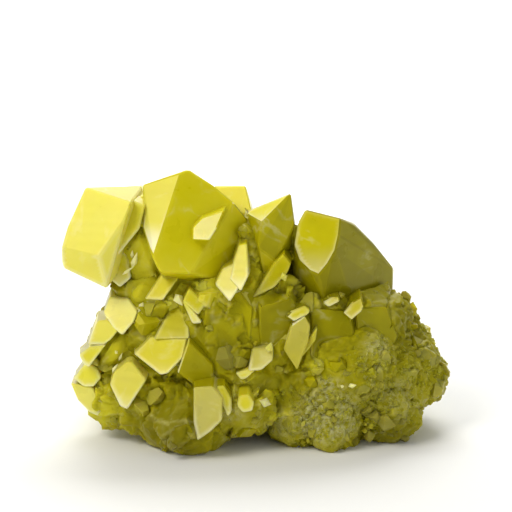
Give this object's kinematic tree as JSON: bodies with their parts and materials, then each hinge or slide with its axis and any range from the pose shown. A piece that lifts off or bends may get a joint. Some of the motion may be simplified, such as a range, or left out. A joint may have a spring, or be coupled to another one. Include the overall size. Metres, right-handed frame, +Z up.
{
  "type": "native sulfur crystal cluster",
  "caption": "Cluster of blocky and bladed sulfur crystals intergrown on a granular mass, with a flat underside to rest on.",
  "frame": {"origin": "middle of the cluster's footprint box, on the surface that it stands on", "axes": "+X right along the longest side as seen from the show side, +Y away from the show side, +Z up"},
  "size_m": [0.1094, 0.073, 0.0747],
  "materials": {
    "sulfur": "resinous, slightly translucent"
  },
  "bodies": {
    "root": {"sulfur_crystal_cluster": "sulfur"}
  },
  "joints": []
}
